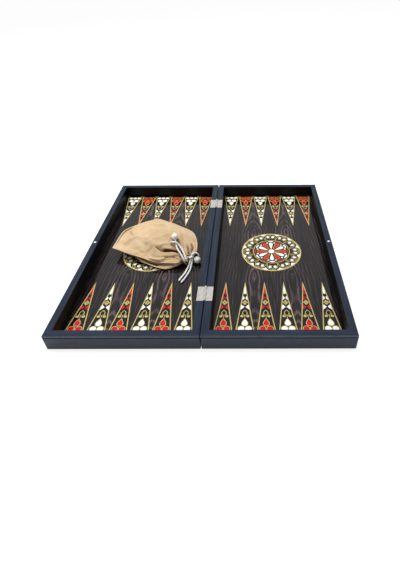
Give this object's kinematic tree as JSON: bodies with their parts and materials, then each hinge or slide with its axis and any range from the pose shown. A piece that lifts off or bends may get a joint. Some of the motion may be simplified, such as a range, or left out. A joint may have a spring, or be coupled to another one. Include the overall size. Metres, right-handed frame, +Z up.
{
  "type": "backgammon set",
  "caption": "Folding wooden backgammon box lying open, with inlaid points and medallions, flush hinges, and a drawstring pouch of checkers and dice in its left tray.",
  "frame": {"origin": "middle of the open board's underside, on the table, under the hinge line", "axes": "+X to the right across both halves, +Y along the hinge line towards the rear, +Z up"},
  "size_m": [0.49, 0.48, 0.0561],
  "materials": {
    "rail_wood": "dark blue-grey stained wood, semi-gloss lacquer",
    "panel_wood": "book-matched dark veneer under clear high-gloss lacquer",
    "nickel": "polished nickel plate",
    "magnet": "bright plated disc",
    "pouch_cloth": "soft ochre cotton flannel",
    "cord": "white braided cotton",
    "bead": "white, glossy",
    "light_checker": "ivory, polished",
    "dark_checker": "dark red, polished",
    "die": "white, polished",
    "inlay_gold": "pale gold line inlay under lacquer",
    "inlay_red": "bright red inlay under lacquer",
    "inlay_pearl": "mother-of-pearl look inlay under lacquer"
  },
  "bodies": {
    "left_half": {"left_front_rail": "rail_wood", "left_rear_rail": "rail_wood", "left_outer_rail": "rail_wood", "left_hinge_rail": "rail_wood", "left_panel": "panel_wood", "left_leaf_screws": "nickel", "left_magnet": "magnet", "front_hinge_left_leaf": "nickel", "rear_hinge_left_leaf": "nickel", "front_hinge_pin": "nickel", "rear_hinge_pin": "nickel"},
    "right_half": {"right_front_rail": "rail_wood", "right_rear_rail": "rail_wood", "right_outer_rail": "rail_wood", "right_hinge_rail": "rail_wood", "right_panel": "panel_wood", "right_leaf_screws": "nickel", "right_magnet": "magnet", "front_hinge_right_leaf": "nickel", "rear_hinge_right_leaf": "nickel"},
    "pouch": {"pouch": "pouch_cloth", "light_checkers": "light_checker", "dark_checkers": "dark_checker", "dice": "die", "upper_bead": "bead", "lower_bead": "bead", "cord_knot": "cord", "bead_cord": "cord", "knotted_cord": "cord", "looped_cord": "cord", "left_tail_cord": "cord", "right_tail_cord": "cord"}
  },
  "joints": [
    {"name": "fold", "type": "hinge", "parent": "left_half", "child": "right_half", "pos_m": [0, 0, 0.0307], "axis": [0, -1, 0], "range_deg": [0, 180]},
    {"name": "pouch_lift", "type": "slide", "parent": "left_half", "child": "pouch", "axis": [0, 0, 1], "range_m": [0, 0.12]}
  ]
}
